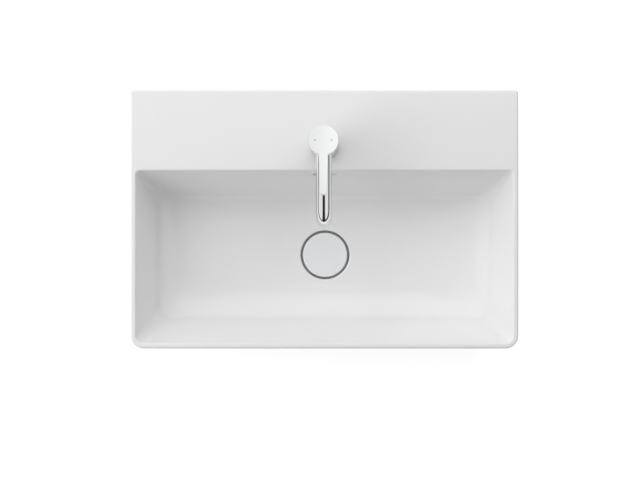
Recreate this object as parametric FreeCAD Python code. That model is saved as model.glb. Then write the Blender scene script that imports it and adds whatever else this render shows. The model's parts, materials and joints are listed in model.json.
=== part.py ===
import FreeCAD, Part
import math
import os

# Vanity basin: a rectangular glazed basin with a full-width tap deck, a
# single-lever mixer tap and a push-open waste.  All sizes in millimetres.
# +X is to the right, +Y towards the wall, +Z up.  The origin is the middle of
# the rear foot, half a skirt wall in front of the wall; z = 0 is the vanity top.

V = FreeCAD.Vector
X_AXIS = V(1, 0, 0)
Y_AXIS = V(0, 1, 0)
Z_AXIS = V(0, 0, 1)

# Fits between pieces, and how far a cutter runs past a face
THREAD_FIT = 0.1
SLIDE_FIT = 0.3
PRESS_FIT = 0.05
PIN_FIT = 0.06
PAST = 1.0

# Basin, outside
BASIN_WIDTH = 600.0
BASIN_DEPTH = 400.0
BASIN_HEIGHT = 150.0
FRONT_CORNER_R = 20.0
REAR_CORNER_R = 5.0
RIM_WIDTH = 8.0
RIM_OUTER_ROUND = 3.5
RIM_INNER_ROUND = 2.5
LIP_ENTRY_DEG = 8.0
DECK_DEPTH = 124.0
DECK_THICKNESS = 14.0
SKIRT_WALL = 12.0
FOOT_ROUND = 2.0
HOLLOW_CORNER_R = 8.0

# Basin, bowl
FLOOR_DEPTH = 99.0
FLOOR_FALL = 3.0
FOOT_WALL_REACH = 16.0
FOOT_SIDE_SHARE = 0.27
FOOT_END_SHARE = 0.68
FOOT_FULLNESS = 0.6
FLOOR_CORNER_R = 50.0
FLOOR_SPAN = 0.2
CORNER_GROWTH = 8.0
SIDE_LEAN_DEG = 16.5
FRONT_LEAN_DEG = 19.9
REAR_LEAN_DEG = 23.4
BOWL_REAR_CORNER_R = 7.0
BOWL_WALL = 10.0
BACKING_CORNER_R = 24.0
BACKING_CHAMFER = 18.0
DISH_RIM = 5.0
DISH_CORNER_R = 31.5

# Basin, overflow and drain
OVERFLOW_WIDTH = 38.0
OVERFLOW_HEIGHT = 8.0
OVERFLOW_DROP = 15.0
OVERFLOW_WALL = 8.0
OVERFLOW_PASSAGE = 9.0
DUCT_WALL = 8.0
RECESS_R = 40.0
RECESS_DEPTH = 15.0
RECESS_ROUND = 2.5
RECESS_DRAFT = 1.5
DRAIN_BORE_R = 23.0
DRAIN_BOSS_WALL = 10.0
BOSS_CLEARANCE = 4.0
ROOT_OVERLAP = 2.0

# Basin, holes
TAP_SETBACK = 87.0
TAP_HOLE_R = 17.5
BOLT_SPACING = 280.0
BOLT_HOLE_R = 8.0
BOLT_HEIGHT = 95.0

# Waste
FLANGE_R = 34.0
FLANGE_SEAL = 1.5
FLANGE_SHELF = 1.7
FLANGE_RIM = 3.5
WASTE_THREAD_R = 20.95
WASTE_NECK_R = 20.5
WASTE_BORE_R = 18.0
WASTE_TAIL_THREAD = 28.0
THREAD_DEPTH = 0.75
THREAD_RELIEF = 1.0
EDGE_BREAK = 1.2
PORT_WIDTH = 10.0
RIB_WIDTH = 3.0
SEAT_GAP = 1.0
GASKET_WIDTH = 9.0
GASKET_TAPER = 3.0
GASKET_LAND = 2.0
WASHER_WIDTH = 8.0
GASKET_HEIGHT = 8.0
WASHER_THICKNESS = 1.5
BACKNUT_HEIGHT = 12.0
BACKNUT_ACROSS_FLATS = 54.0
BACKNUT_COLLAR = 3.0
HUB_DROP = 14.5
HUB_HEIGHT = 6.0
HUB_R = 9.0
COVER_R = 36.0
COVER_THICKNESS = 7.5
COVER_PROUD = 0.5
COVER_ROUND = 2.0
COVER_CHAMFER = 1.5
CARRIER_R = 26.5
CARRIER_PLATE = 2.0
PLUNGER_SOCKET = 7.5
PLUNGER_SOCKET_WALL = 3.5
SEAL_LIFT = 0.3
SEAL_INSET = 0.8
SEAL_WIDTH = 6.0
SEAL_TAPER = 1.5
CLICK_R = 5.9
CLICK_LENGTH = 28.0
CLICK_GUIDE = 8.0
CLICK_HEAD = 2.5
CLICK_HEAD_R = 8.0
CLICK_FLOOR = 2.0
PLUNGER_R = 3.0
PLUNGER_FOOT_R = 4.2
PLUNGER_FOOT = 3.0
SPRING_LENGTH = 14.0
SPRING_WIRE = 0.8
SPRING_TURNS = 5
SPRING_SEAT = 0.1

# Tap, body and spout
TAP_BODY_R = 21.0
PIVOT_HEIGHT = 120.5
BASE_SEAL = 1.5
BASE_SEAL_INSET = 1.0
SPIGOT_R = 16.8
SPIGOT_WALL = 2.3
SPIGOT_LENGTH = 5.0
BODY_EDGE = 0.8
SPOUT_R = 12.0
SPOUT_WALL = 2.2
SPOUT_REACH = 113.0
SPOUT_BEND_R = 16.0
SPOUT_OUTLET = 10.0
SPOUT_BELOW_PIVOT = 42.5
INLET_R = 4.5
INLET_LENGTH = 12.0
INLET_X = 6.5
INLET_Y = -4.0
CHANNEL_R = 3.2
PORT_Y = 3.5
OUTLET_PORT_Y = -7.5
OUTLET_PORT_R = 4.2
STUD_R = 3.9
STUD_Y = 10.0
STUD_DEPTH = 14.0
STUD_LENGTH = 70.0
HORSESHOE_R = 24.0
HORSESHOE_PLATE = 3.0
HORSESHOE_GASKET = 2.0
HORSESHOE_SLOT = 24.0
HORSESHOE_BRIDGE = 2.0
HORSESHOE_FRONT = 8.0
FIXING_NUT_LENGTH = 14.0
FIXING_NUT_ACROSS_FLATS = 13.0
AERATOR_HEIGHT = 9.0
AERATOR_WALL = 1.6
AERATOR_WASHER = 1.5
AERATOR_LEDGE = 0.9
AERATOR_SETBACK = 0.5
CELL_PITCH = 2.6
CELL_WEB = 0.8

# Tap, handle
HANDLE_R = 22.0
HANDLE_TOP = 27.5
HANDLE_RIM = 9.5
HANDLE_EDGE = 0.8
HANDLE_SLOPE_DEG = 3.0
DOME_R = 19.5
DOME_WALL = 1.8
DOME_GAP = 0.8
DOME_HOLE_R = 11.0
LEVER_REACH = 79.0
LEVER_ROOT_WIDTH = 15.0
LEVER_TIP_WIDTH = 11.0
LEVER_ROOT_THICKNESS = 6.5
LEVER_TIP_THICKNESS = 5.0
INDEX_X = 12.0
INDEX_R = 0.9
INDEX_DEPTH = 0.6
GRUB_R = 1.9
GRUB_LENGTH = 7.0
SCREW_CAP_R = 2.6
SCREW_CAP_LENGTH = 3.0
GRUB_KEY_R = 0.9
GRUB_KEY_DEPTH = 2.0

# Tap, cartridge
CARTRIDGE_R = 17.0
CARTRIDGE_BORE_R = 17.2
CARTRIDGE_CAVITY_R = 15.4
NECK_R = 12.6
NECK_HEIGHT = 4.0
CARTRIDGE_SHOULDER = 3.0
LIP = 1.7
ROTOR_R = 9.9
ROTOR_FLANGE_R = 12.8
ROTOR_FLANGE = 3.0
ROTOR_TOP = 6.0
TURN_GAP = 0.3
PIN_R = 1.5
PIN_PRESS = 0.02
PIN_INSET = 0.4
ROTOR_SLOT_GAP = 0.2
ROTOR_SLOT_FRONT = 8.0
ROTOR_SLOT_REAR = 7.5
STEM_WIDTH = 7.0
STEM_TOP = 25.0
STEM_TAIL_WIDTH = 4.0
STEM_ARM = 11.0
STEM_NOSE_R = 2.5
NOSE_GAP = 0.5
CARRIER_DISC_R = 10.0
CARRIER_HEIGHT = 5.7
RAIL_HEIGHT = 2.2
RAIL_X = 6.65
RAIL_WIDTH = 2.7
RAIL_LENGTH = 11.0
DISC_R = 10.4
DISC_THICKNESS = 3.0
DISC_FILM = 0.05
MIX_POCKET_WIDTH = 8.0
MIX_POCKET_LENGTH = 7.0
MIX_POCKET_FRONT = 8.0
MIX_POCKET_DEPTH = 1.8
FIXED_DISC_R = 13.0
FIXED_DISC_THICKNESS = 3.5
CARTRIDGE_BASE = 4.5
PORT_SEAL = 1.2
PORT_SEAL_WALL = 1.5
RING_NUT_HEIGHT = 5.5
RING_NUT_NOTCH = 3.0

# Levels and centres that follow from the sizes above
WALL_Y = SKIRT_WALL / 2
RIM_Z = BASIN_HEIGHT
DECK_UNDERSIDE_Z = RIM_Z - DECK_THICKNESS
BOWL_HALF = BASIN_WIDTH / 2 - RIM_WIDTH
BOWL_FRONT_Y = WALL_Y - BASIN_DEPTH + RIM_WIDTH
BOWL_REAR_Y = WALL_Y - DECK_DEPTH
BOWL_FRONT_CORNER_R = FRONT_CORNER_R - RIM_WIDTH
DRAIN_Y = (BOWL_FRONT_Y + BOWL_REAR_Y) / 2
DRAIN_FLOOR_Z = RIM_Z - FLOOR_DEPTH - FLOOR_FALL
SEAT_Z = DRAIN_FLOOR_Z - RECESS_DEPTH
BOSS_Z = BOSS_CLEARANCE
BOSS_R = RECESS_R + DRAIN_BOSS_WALL
CHANNEL_FLOOR_Z = BOSS_Z + DUCT_WALL
CHANNEL_TOP_Z = CHANNEL_FLOOR_Z + OVERFLOW_PASSAGE
OVERFLOW_Z = RIM_Z - OVERFLOW_DROP
TAP_Y = WALL_Y - TAP_SETBACK
PIVOT_Z = RIM_Z + PIVOT_HEIGHT
PIVOT = V(0, TAP_Y, PIVOT_Z)
FLANGE_Z = SEAT_Z + FLANGE_SEAL
SHELF_Z = FLANGE_Z + FLANGE_SHELF
HUB_TOP_Z = FLANGE_Z - HUB_DROP
COVER_TOP_Z = DRAIN_FLOOR_Z + COVER_PROUD
COVER_Z = COVER_TOP_Z - COVER_THICKNESS
CARRIER_Z = COVER_Z - CARRIER_PLATE
CLICK_Z = HUB_TOP_Z - CLICK_LENGTH
SPRING_Z = CLICK_Z + CLICK_FLOOR
FOOT_Z = SPRING_Z + SPRING_LENGTH
GASKET_Z = BOSS_Z - GASKET_HEIGHT
WASHER_Z = GASKET_Z - WASHER_THICKNESS
BACKNUT_Z = WASHER_Z - BACKNUT_HEIGHT
SPOUT_Z = PIVOT_Z - SPOUT_BELOW_PIVOT
SPOUT_BORE_R = SPOUT_R - SPOUT_WALL
OUTLET_Y = TAP_Y - SPOUT_REACH
OUTLET_Z = SPOUT_Z - SPOUT_BEND_R - SPOUT_OUTLET
TAP_BASE_Z = RIM_Z + BASE_SEAL
STUD_TOP_Z = TAP_BASE_Z + STUD_DEPTH
HORSESHOE_TOP_Z = DECK_UNDERSIDE_Z - HORSESHOE_GASKET
ROTOR_FLANGE_TOP_Z = PIVOT_Z - CARTRIDGE_SHOULDER - LIP - TURN_GAP
ROTOR_Z = ROTOR_FLANGE_TOP_Z - ROTOR_FLANGE
CARRIER_TOP_Z = ROTOR_Z - TURN_GAP
DISC_TOP_Z = CARRIER_TOP_Z - CARRIER_HEIGHT
DISC_Z = DISC_TOP_Z - DISC_THICKNESS
FIXED_DISC_TOP_Z = DISC_Z - DISC_FILM
FIXED_DISC_Z = FIXED_DISC_TOP_Z - FIXED_DISC_THICKNESS
CARTRIDGE_Z = FIXED_DISC_Z - CARTRIDGE_BASE
CARTRIDGE_FLOOR_Z = CARTRIDGE_Z - PORT_SEAL
SHOULDER_Z = PIVOT_Z - CARTRIDGE_SHOULDER
AERATOR_R = SPOUT_BORE_R - THREAD_FIT
AERATOR_Z = OUTLET_Z + AERATOR_SETBACK
DOME_SHOULDER_Z = SHOULDER_Z + RING_NUT_HEIGHT
HANDLE_TOP_Z = PIVOT_Z + HANDLE_TOP
GRUB_Z = PIVOT_Z + (DOME_R + DOME_GAP + STEM_TOP) / 2


def cylinder(radius, z_low, z_high, x=0.0, y=0.0):
    return Part.makeCylinder(radius, z_high - z_low, V(x, y, z_low), Z_AXIS)


def ring(outer_r, inner_r, z_low, z_high, x=0.0, y=0.0):
    bore = cylinder(inner_r, z_low - PAST, z_high + PAST, x, y)
    return cylinder(outer_r, z_low, z_high, x, y).cut(bore)


def box(x_low, x_high, y_low, y_high, z_low, z_high):
    corner = V(x_low, y_low, z_low)
    return Part.makeBox(x_high - x_low, y_high - y_low, z_high - z_low, corner)


def turned(profile, y):
    """Solid of revolution about the vertical axis at x = 0 from (radius, z) points."""
    points = [V(radius, y, z) for radius, z in profile]
    face = Part.Face(Part.makePolygon(points + points[:1]))
    return face.revolve(V(0, y, 0), Z_AXIS, 360)


def prism_across(profile, x_half):
    """Solid of constant (y, z) section, spanning x = -x_half to +x_half."""
    points = [V(-x_half, y, z) for y, z in profile]
    face = Part.Face(Part.makePolygon(points + points[:1]))
    return face.extrude(V(2 * x_half, 0, 0))


def hexagon(across_flats, z_low, z_high, x, y):
    corner_r = across_flats / math.sqrt(3)
    angles = [math.radians(60 * step + 30) for step in range(6)]
    points = [V(x + corner_r * math.cos(a), y + corner_r * math.sin(a), z_low) for a in angles]
    face = Part.Face(Part.makePolygon(points + points[:1]))
    return face.extrude(V(0, 0, z_high - z_low))


def level_edges(shape, z, tolerance=0.01):
    """Edges that lie wholly at one height."""
    found = []
    for edge in shape.Edges:
        bounds = edge.BoundBox
        if abs(bounds.ZMin - z) < tolerance and abs(bounds.ZMax - z) < tolerance:
            found.append(edge)
    return found


def closed_solid(faces):
    """Solid from faces that meet edge to edge."""
    shell = Part.makeShell(faces)
    shell.sewShape()
    solid = Part.makeSolid(shell)
    if solid.Volume < 0:
        solid.reverse()
    return solid


def tapered_block(low, high, r_front, r_rear):
    """Block between two level rectangles (x_half, y_front, y_rear, z) with rounded upright corners."""
    x_low, front_low, rear_low, z_low = low
    x_high, front_high, rear_high, z_high = high
    block = Part.makeWedge(
        -x_low, z_low, -rear_low, -rear_high, -x_high,
        x_low, z_high, -front_low, -front_high, x_high)
    block.rotate(V(0, 0, 0), X_AXIS, 90)
    corners = (((front_low + front_high) / 2, r_front), ((rear_low + rear_high) / 2, r_rear))
    for y, radius in corners:
        uprights = [edge for edge in block.Edges if
                    edge.BoundBox.ZLength > 1.0 and abs(edge.CenterOfMass.y - y) < 0.01]
        block = block.makeFillet(radius, uprights)
    return block


def outline(z, inset=0.0):
    """Plan rectangle of the basin at one height, drawn in by a wall thickness."""
    return BASIN_WIDTH / 2 - inset, WALL_Y - BASIN_DEPTH + inset, WALL_Y - inset, z


def corner_round(before, corner, after, reach_before, reach_after, fullness, span_after=1.0):
    """Control points of the round at a corner: its two ends, each with a handle either side.

    The last handle is scaled to the span that follows the round."""
    arriving = corner.sub(before).normalize()
    leaving = after.sub(corner).normalize()
    entry = [corner - arriving * reach_before * (1 + side * fullness) for side in (1, 0, -1)]
    departure = [corner + leaving * reach_after * (1 + side * fullness) for side in (-1, 0, span_after)]
    return entry + departure


def wall_profile(lean_deg, dish_inset, foot_share):
    """Control points (inset, depth) of one bowl wall: rim round, straight wall, foot sweep, floor."""
    lean = math.tan(math.radians(lean_deg))
    entry = math.radians(LIP_ENTRY_DEG)
    turn = math.radians(90 - lean_deg) - entry
    lip_reach = RIM_INNER_ROUND * math.tan(turn / 2)
    arc_fullness = 4.0 / 3.0 * math.tan(turn / 4) / math.tan(turn / 2)
    lip_depth = lip_reach * math.sin(entry)
    lip_spot = V(lip_depth * lean, lip_depth, 0)
    foot_spot = V(FLOOR_DEPTH * lean, FLOOR_DEPTH, 0)
    dish_spot = V(dish_inset, FLOOR_DEPTH + FLOOR_FALL, 0)
    deck_spot = lip_spot - V(math.cos(entry), math.sin(entry), 0)
    lip = corner_round(deck_spot, lip_spot, foot_spot, lip_reach, lip_reach, arc_fullness)
    foot_reach = foot_share * (dish_spot.x - foot_spot.x)
    foot = corner_round(
        lip_spot, foot_spot, dish_spot, FOOT_WALL_REACH, foot_reach, FOOT_FULLNESS, FLOOR_SPAN)
    floor = (foot[5] + dish_spot) * 0.5
    return [lip[1], lip[2], lip[3], lip[5], foot[0], foot[2], foot[3], foot[5], floor, dish_spot]


def plan_row(x_half, y_front, y_rear, r_front, r_rear, z_side, z_front, z_rear):
    """Closed row of control points round a rounded rectangle, from the middle of the front."""
    arc = 4.0 / 3.0 * math.tan(math.pi / 8)
    front_line = min(arc * r_front, 0.45 * (x_half - r_front))
    rear_line = min(arc * r_rear, 0.45 * (x_half - r_rear))
    side_run = 0.45 * (y_rear - r_rear - y_front - r_front)
    side_front = min(arc * r_front, side_run)
    side_rear = min(arc * r_rear, side_run)
    right = [
        V(0.5 * (x_half - r_front), y_front, z_front),
        V(x_half - r_front - front_line, y_front, z_front),
        V(x_half - r_front + arc * r_front, y_front, z_front),
        V(x_half, y_front + r_front - arc * r_front, z_side),
        V(x_half, y_front + r_front + side_front, z_side),
        V(x_half, y_rear - r_rear - side_rear, z_side),
        V(x_half, y_rear - r_rear + arc * r_rear, z_side),
        V(x_half - r_rear + arc * r_rear, y_rear, z_rear),
        V(x_half - r_rear - rear_line, y_rear, z_rear)]
    left = [V(-point.x, point.y, point.z) for point in reversed(right)]
    middle = V(0, y_front, z_front)
    return [middle] + right + left + [middle]


def bowl_solid():
    """The space inside the bowl, under one smooth skin from rim round to drain dish."""
    dish = RECESS_R + DISH_RIM
    side = wall_profile(SIDE_LEAN_DEG, BOWL_HALF - dish, FOOT_SIDE_SHARE)
    front = wall_profile(FRONT_LEAN_DEG, DRAIN_Y - dish - BOWL_FRONT_Y, FOOT_END_SHARE)
    rear = wall_profile(REAR_LEAN_DEG, BOWL_REAR_Y - DRAIN_Y - dish, FOOT_END_SHARE)
    on_floor = [0.0] * 8 + [0.5, 1.0]
    rows = []
    for s, f, r, drawn in zip(side, front, rear, on_floor):
        share = min(max(s.y, 0.0) / FLOOR_DEPTH, 1.0) ** CORNER_GROWTH
        foot_r = FLOOR_CORNER_R + (DISH_CORNER_R - FLOOR_CORNER_R) * drawn
        flare = max(-s.x, 0.0)
        r_front = BOWL_FRONT_CORNER_R + (foot_r - BOWL_FRONT_CORNER_R) * share + flare
        r_rear = BOWL_REAR_CORNER_R + (foot_r - BOWL_REAR_CORNER_R) * share + flare
        rows.append(plan_row(
            BOWL_HALF - s.x, BOWL_FRONT_Y + f.x, BOWL_REAR_Y - r.x,
            r_front, r_rear, RIM_Z - s.y, RIM_Z - f.y, RIM_Z - r.y))
    poles = [list(column) for column in zip(*rows)]
    round_knots = list(range(10))
    round_mults = [4] + [2] * 8 + [4]
    down_knots = [0.0, 1.0, 2.0, 3.0, 3.0 + FLOOR_SPAN]
    skin = Part.BSplineSurface()
    skin.buildFromPolesMultsKnots(
        poles, round_mults, [4, 2, 2, 2, 4], round_knots, down_knots, False, False, 3, 3)
    faces = []
    for u in round_knots[:-1]:
        for v, band in enumerate(("lip", "wall", "foot", "floor")):
            patch = skin.copy()
            patch.segment(u, u + 1, down_knots[v], down_knots[v + 1])
            face = patch.toShape()
            if band == "wall" and u % 2 == 0:
                face = Part.Face(Part.Wire(Part.sortEdges(face.Edges)[0]))
            faces.append(face)
    for row in (rows[0], rows[-1]):
        curve = Part.BSplineCurve()
        curve.buildFromPolesMultsKnots(row, round_mults, round_knots, False, 3)
        edges = [curve.toShape(u, u + 1) for u in round_knots[:-1]]
        faces.append(Part.Face(Part.Wire(edges)))
    return closed_solid(faces)


def bowl_backing():
    """Bowl and its wall together, flat underneath, to be left standing in the hollow underside."""
    levels = []
    for z in (DRAIN_FLOOR_Z - BOWL_WALL, RIM_Z - ROOT_OVERLAP):
        depth = RIM_Z - z
        levels.append((
            BOWL_HALF + BOWL_WALL - depth * math.tan(math.radians(SIDE_LEAN_DEG)),
            BOWL_FRONT_Y - BOWL_WALL + depth * math.tan(math.radians(FRONT_LEAN_DEG)),
            rear_wall_y(z) + BOWL_WALL, z))
    backing = tapered_block(levels[0], levels[1], BACKING_CORNER_R, BACKING_CORNER_R)
    return backing.makeChamfer(BACKING_CHAMFER, level_edges(backing, DRAIN_FLOOR_Z - BOWL_WALL))


def rear_wall_y(z):
    """Bowl side of the rear wall, as a plane."""
    return BOWL_REAR_Y - (RIM_Z - z) * math.tan(math.radians(REAR_LEAN_DEG))


def overflow_duct(inner, outer, x_half, top_z, bend_z, low_z, end_y):
    """Bent duct that follows the rear wall down and runs forward to the drain."""
    return prism_across([
        (rear_wall_y(top_z) + inner, top_z),
        (rear_wall_y(bend_z) + inner, bend_z),
        (end_y, bend_z),
        (end_y, low_z),
        (rear_wall_y(low_z) + outer, low_z),
        (rear_wall_y(top_z) + outer, top_z),
    ], x_half)


def overflow_slot():
    """Round-ended slot through the rear wall into the duct."""
    end_r = OVERFLOW_HEIGHT / 2
    reach = OVERFLOW_WIDTH / 2 - end_r
    run_in = 2 * OVERFLOW_HEIGHT
    y_start = rear_wall_y(OVERFLOW_Z) - run_in
    length = run_in + OVERFLOW_WALL + OVERFLOW_PASSAGE / 2
    slot = box(-reach, reach, y_start, y_start + length, OVERFLOW_Z - end_r, OVERFLOW_Z + end_r)
    for x in (-reach, reach):
        slot = slot.fuse(Part.makeCylinder(end_r, length, V(x, y_start, OVERFLOW_Z), Y_AXIS))
    return slot.removeSplitter()


def make_basin_body():
    outside = tapered_block(outline(0.0), outline(RIM_Z), FRONT_CORNER_R, REAR_CORNER_R)
    outside = outside.makeFillet(RIM_OUTER_ROUND, level_edges(outside, RIM_Z))
    foot = [edge for edge in level_edges(outside, 0.0) if
            edge.BoundBox.YMax < WALL_Y - REAR_CORNER_R / 2]
    outside = outside.makeFillet(FOOT_ROUND, foot)

    hollow = tapered_block(
        outline(-PAST, SKIRT_WALL), outline(DECK_UNDERSIDE_Z, SKIRT_WALL),
        HOLLOW_CORNER_R, HOLLOW_CORNER_R)
    duct_reach = OVERFLOW_WALL + OVERFLOW_PASSAGE
    kept = bowl_backing()
    kept = kept.fuse(overflow_duct(
        ROOT_OVERLAP, duct_reach + DUCT_WALL, OVERFLOW_WIDTH / 2 + DUCT_WALL,
        DECK_UNDERSIDE_Z + ROOT_OVERLAP, CHANNEL_TOP_Z + DUCT_WALL, BOSS_Z, DRAIN_Y))
    kept = kept.fuse(cylinder(BOSS_R, BOSS_Z, DRAIN_FLOOR_Z - ROOT_OVERLAP, 0, DRAIN_Y))
    body = outside.cut(hollow.cut(kept))

    body = body.cut(overflow_duct(
        OVERFLOW_WALL, duct_reach, OVERFLOW_WIDTH / 2,
        OVERFLOW_Z + OVERFLOW_HEIGHT / 2, CHANNEL_TOP_Z, CHANNEL_FLOOR_Z, DRAIN_Y))
    body = body.cut(overflow_slot())
    body = body.cut(bowl_solid())
    recess_top = DRAIN_FLOOR_Z + FLOOR_FALL
    recess = turned([
        (0, SEAT_Z), (RECESS_R - RECESS_DRAFT, SEAT_Z),
        (RECESS_R, DRAIN_FLOOR_Z), (RECESS_R, recess_top), (0, recess_top)], DRAIN_Y)
    body = body.cut(recess)
    body = body.cut(cylinder(DRAIN_BORE_R, BOSS_Z - PAST, SEAT_Z + PAST, 0, DRAIN_Y))
    mouth = [edge for edge in level_edges(body, DRAIN_FLOOR_Z) if
             abs(edge.BoundBox.XLength - 2 * RECESS_R) < RECESS_DRAFT / 2]
    body = body.makeFillet(RECESS_ROUND, mouth)
    body = body.cut(cylinder(TAP_HOLE_R, DECK_UNDERSIDE_Z - PAST, RIM_Z + PAST, 0, TAP_Y))
    for x in (-BOLT_SPACING / 2, BOLT_SPACING / 2):
        start = V(x, WALL_Y - SKIRT_WALL - PAST, BOLT_HEIGHT)
        body = body.cut(Part.makeCylinder(BOLT_HOLE_R, SKIRT_WALL + 2 * PAST, start, Y_AXIS))
    return body


def make_waste_body():
    tail_top = BACKNUT_Z - THREAD_RELIEF
    tail_end = tail_top - WASTE_TAIL_THREAD - THREAD_DEPTH
    groove = WASTE_THREAD_R - THREAD_DEPTH
    rim_z = FLANGE_Z + FLANGE_RIM
    seat_r = CARRIER_R + SEAT_GAP
    body = turned([
        (WASTE_BORE_R, tail_end), (groove, tail_end),
        (WASTE_THREAD_R, tail_end + THREAD_DEPTH), (WASTE_THREAD_R, tail_top),
        (groove, tail_top), (groove, BACKNUT_Z), (WASTE_THREAD_R, BACKNUT_Z),
        (WASTE_THREAD_R, BOSS_Z), (WASTE_NECK_R, BOSS_Z + THREAD_RELIEF), (WASTE_NECK_R, FLANGE_Z),
        (FLANGE_R, FLANGE_Z), (FLANGE_R, rim_z - EDGE_BREAK), (FLANGE_R - EDGE_BREAK, rim_z),
        (seat_r + SEAT_GAP / 2, rim_z), (seat_r - SEAT_GAP, SHELF_Z),
        (WASTE_BORE_R + EDGE_BREAK, SHELF_Z), (WASTE_BORE_R, SHELF_Z - EDGE_BREAK)], DRAIN_Y)
    half = PORT_WIDTH / 2
    inside_r = WASTE_BORE_R - 2 * PAST
    port_top = CHANNEL_TOP_Z + ROOT_OVERLAP
    for turn in (0, 90, 180, 270):
        port = box(-half, half, inside_r, WASTE_THREAD_R + PAST, CHANNEL_FLOOR_Z, port_top)
        port.rotate(V(0, 0, 0), Z_AXIS, turn)
        port.translate(V(0, DRAIN_Y, 0))
        body = body.cut(port)
    hub_low = HUB_TOP_Z - HUB_HEIGHT
    spider = cylinder(HUB_R, hub_low, HUB_TOP_Z, 0, DRAIN_Y)
    for turn in (45, 135, 225, 315):
        rib = box(HUB_R - PAST, WASTE_BORE_R + PAST, -RIB_WIDTH / 2, RIB_WIDTH / 2, hub_low, HUB_TOP_Z)
        rib.rotate(V(0, 0, 0), Z_AXIS, turn)
        rib.translate(V(0, DRAIN_Y, 0))
        spider = spider.fuse(rib)
    body = body.fuse(spider)
    bore_r = CLICK_R + THREAD_FIT
    return body.cut(cylinder(bore_r, hub_low - PAST, HUB_TOP_Z + PAST, 0, DRAIN_Y))


def make_waste_flange_seal():
    inner_r = WASTE_THREAD_R + SLIDE_FIT
    return ring(FLANGE_R - SEAT_GAP, inner_r, SEAT_Z, FLANGE_Z, 0, DRAIN_Y)


def make_waste_cone_gasket():
    bore_r = WASTE_THREAD_R + THREAD_FIT
    outer_r = bore_r + GASKET_WIDTH
    return turned([
        (bore_r, GASKET_Z), (outer_r - GASKET_TAPER, GASKET_Z), (outer_r, BOSS_Z - GASKET_LAND),
        (outer_r, BOSS_Z), (bore_r, BOSS_Z)], DRAIN_Y)


def make_waste_washer():
    bore_r = WASTE_THREAD_R + THREAD_FIT
    return ring(bore_r + WASHER_WIDTH, bore_r, WASHER_Z, GASKET_Z, 0, DRAIN_Y)


def make_waste_backnut():
    nut = hexagon(BACKNUT_ACROSS_FLATS, BACKNUT_Z, WASHER_Z, 0, DRAIN_Y)
    collar_r = BACKNUT_ACROSS_FLATS / math.sqrt(3)
    nut = nut.fuse(cylinder(collar_r, WASHER_Z - BACKNUT_COLLAR, WASHER_Z, 0, DRAIN_Y))
    return nut.cut(cylinder(WASTE_THREAD_R + THREAD_FIT, BACKNUT_Z - PAST, WASHER_Z + PAST, 0, DRAIN_Y))


def make_drain_cover():
    cover = cylinder(COVER_R, COVER_Z, COVER_TOP_Z, 0, DRAIN_Y)
    cover = cover.makeFillet(COVER_ROUND, level_edges(cover, COVER_TOP_Z))
    return cover.makeChamfer(COVER_CHAMFER, level_edges(cover, COVER_Z))


def make_cover_carrier():
    boss_r = PLUNGER_R + PLUNGER_SOCKET_WALL
    socket_z = CARRIER_Z - PLUNGER_SOCKET
    carrier = cylinder(CARRIER_R, CARRIER_Z, COVER_Z, 0, DRAIN_Y)
    carrier = carrier.fuse(cylinder(boss_r, socket_z, CARRIER_Z, 0, DRAIN_Y))
    return carrier.cut(cylinder(PLUNGER_R + PRESS_FIT, socket_z - PAST, CARRIER_Z, 0, DRAIN_Y))


def make_plug_seal():
    low_z = SHELF_Z + SEAL_LIFT
    outer_r = CARRIER_R - SEAL_INSET
    inner_r = outer_r - SEAL_WIDTH
    return turned([
        (inner_r, CARRIER_Z), (inner_r + SEAL_TAPER, low_z), (outer_r - SEAL_INSET, low_z),
        (outer_r, low_z + SEAL_INSET), (outer_r, CARRIER_Z)], DRAIN_Y)


def make_click_housing():
    bore_r = PLUNGER_FOOT_R + SLIDE_FIT
    top_z = HUB_TOP_Z + CLICK_GUIDE
    roof_z = top_z - CLICK_FLOOR
    housing = cylinder(CLICK_R, CLICK_Z, top_z, 0, DRAIN_Y)
    housing = housing.fuse(cylinder(CLICK_HEAD_R, HUB_TOP_Z, HUB_TOP_Z + CLICK_HEAD, 0, DRAIN_Y))
    housing = housing.cut(cylinder(bore_r, SPRING_Z, roof_z, 0, DRAIN_Y))
    return housing.cut(cylinder(PLUNGER_R + SLIDE_FIT, roof_z - PAST, top_z + PAST, 0, DRAIN_Y))


def make_click_plunger():
    foot = cylinder(PLUNGER_FOOT_R, FOOT_Z, FOOT_Z + PLUNGER_FOOT, 0, DRAIN_Y)
    return foot.fuse(cylinder(PLUNGER_R, FOOT_Z, CARRIER_Z, 0, DRAIN_Y))


def make_click_spring():
    """Helical spring of square wire between the housing floor and the plunger foot."""
    half = SPRING_WIRE / 2
    coil_r = PLUNGER_FOOT_R - SPRING_WIRE
    rise = SPRING_LENGTH - SPRING_WIRE - 2 * SPRING_SEAT
    corners = [V(coil_r + dx, 0, dz) for dx, dz in
               ((-half, -half), (half, -half), (half, half), (-half, half), (-half, -half))]
    helix = Part.makeHelix(rise / SPRING_TURNS, rise, coil_r)
    spring = Part.Wire(helix.Edges).makePipeShell([Part.makePolygon(corners)], True, True)
    spring.translate(V(0, DRAIN_Y, SPRING_Z + half + SPRING_SEAT))
    return spring


def spout_solid(radius, start_y):
    """Horizontal tube, quarter bend and short drop."""
    bend_y = OUTLET_Y + SPOUT_BEND_R
    level = Part.makeCylinder(radius, start_y - bend_y, V(0, start_y, SPOUT_Z), V(0, -1, 0))
    circle = Part.Wire(Part.makeCircle(radius, V(0, bend_y, SPOUT_Z), Y_AXIS))
    bend = Part.Face(circle).revolve(V(0, bend_y, SPOUT_Z - SPOUT_BEND_R), X_AXIS, 90)
    drop = cylinder(radius, OUTLET_Z, SPOUT_Z - SPOUT_BEND_R, 0, OUTLET_Y)
    return level.fuse([bend, drop])


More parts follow.
